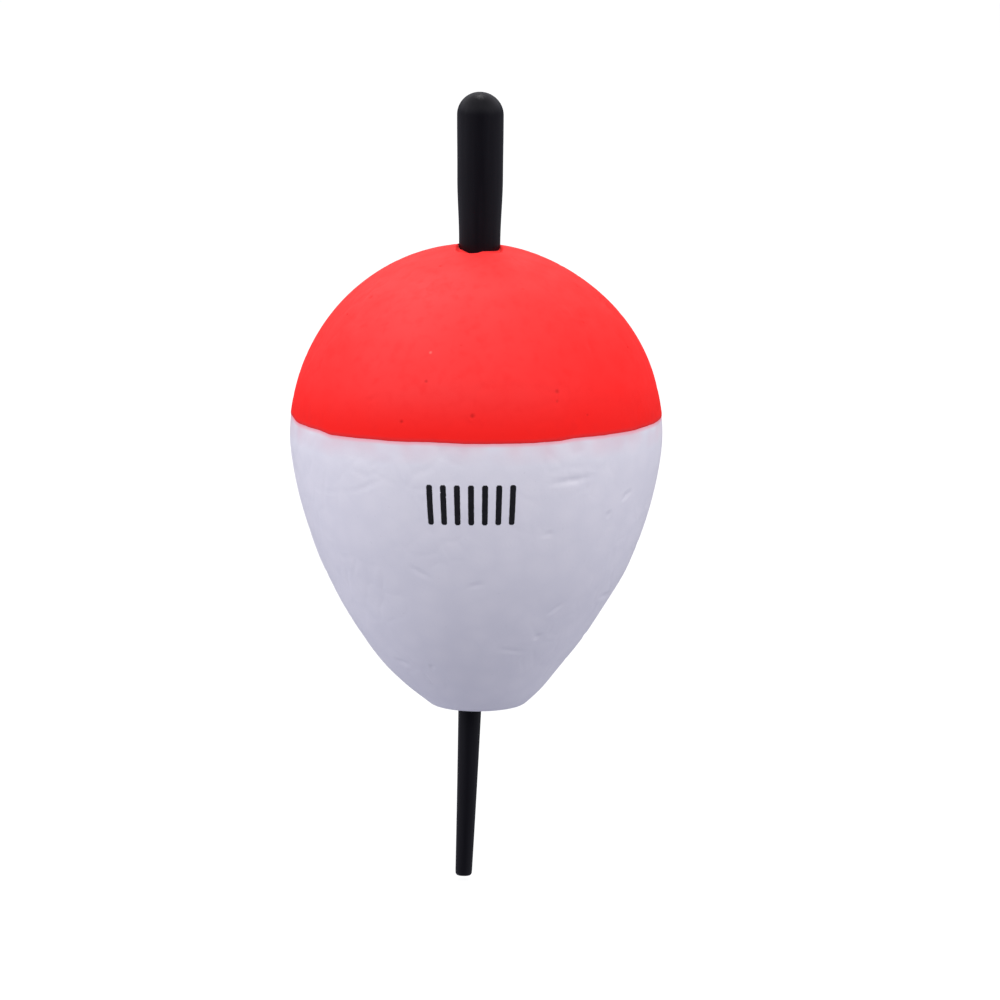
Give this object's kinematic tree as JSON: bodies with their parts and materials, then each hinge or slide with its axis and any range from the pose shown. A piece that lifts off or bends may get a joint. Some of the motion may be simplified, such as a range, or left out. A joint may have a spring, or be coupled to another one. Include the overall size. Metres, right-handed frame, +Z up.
{
  "type": "peg float",
  "caption": "Egg-shaped foam fishing float with a painted crown and a tapered push-through peg that pinches the line in its bore.",
  "frame": {"origin": "on the body's axis, at the middle of its flat bottom", "axes": "+Z up along the body's axis, from its flat bottom to its crown; -Y is the front, where the load mark is"},
  "size_m": [0.048, 0.048, 0.1013],
  "materials": {
    "foam": "matte",
    "white_paint": "satin",
    "red_paint": "satin",
    "black_ink": "satin",
    "black_plastic": "satin"
  },
  "bodies": {
    "float_body": {"foam_core": "foam", "white_coat": "white_paint", "red_coat": "red_paint", "load_mark": "black_ink"},
    "peg": {"peg": "black_plastic"}
  },
  "joints": [
    {"name": "peg_slide", "type": "slide", "parent": "float_body", "child": "peg", "axis": [0.0212, 0, 0.9998], "range_m": [0, 0.085]}
  ]
}
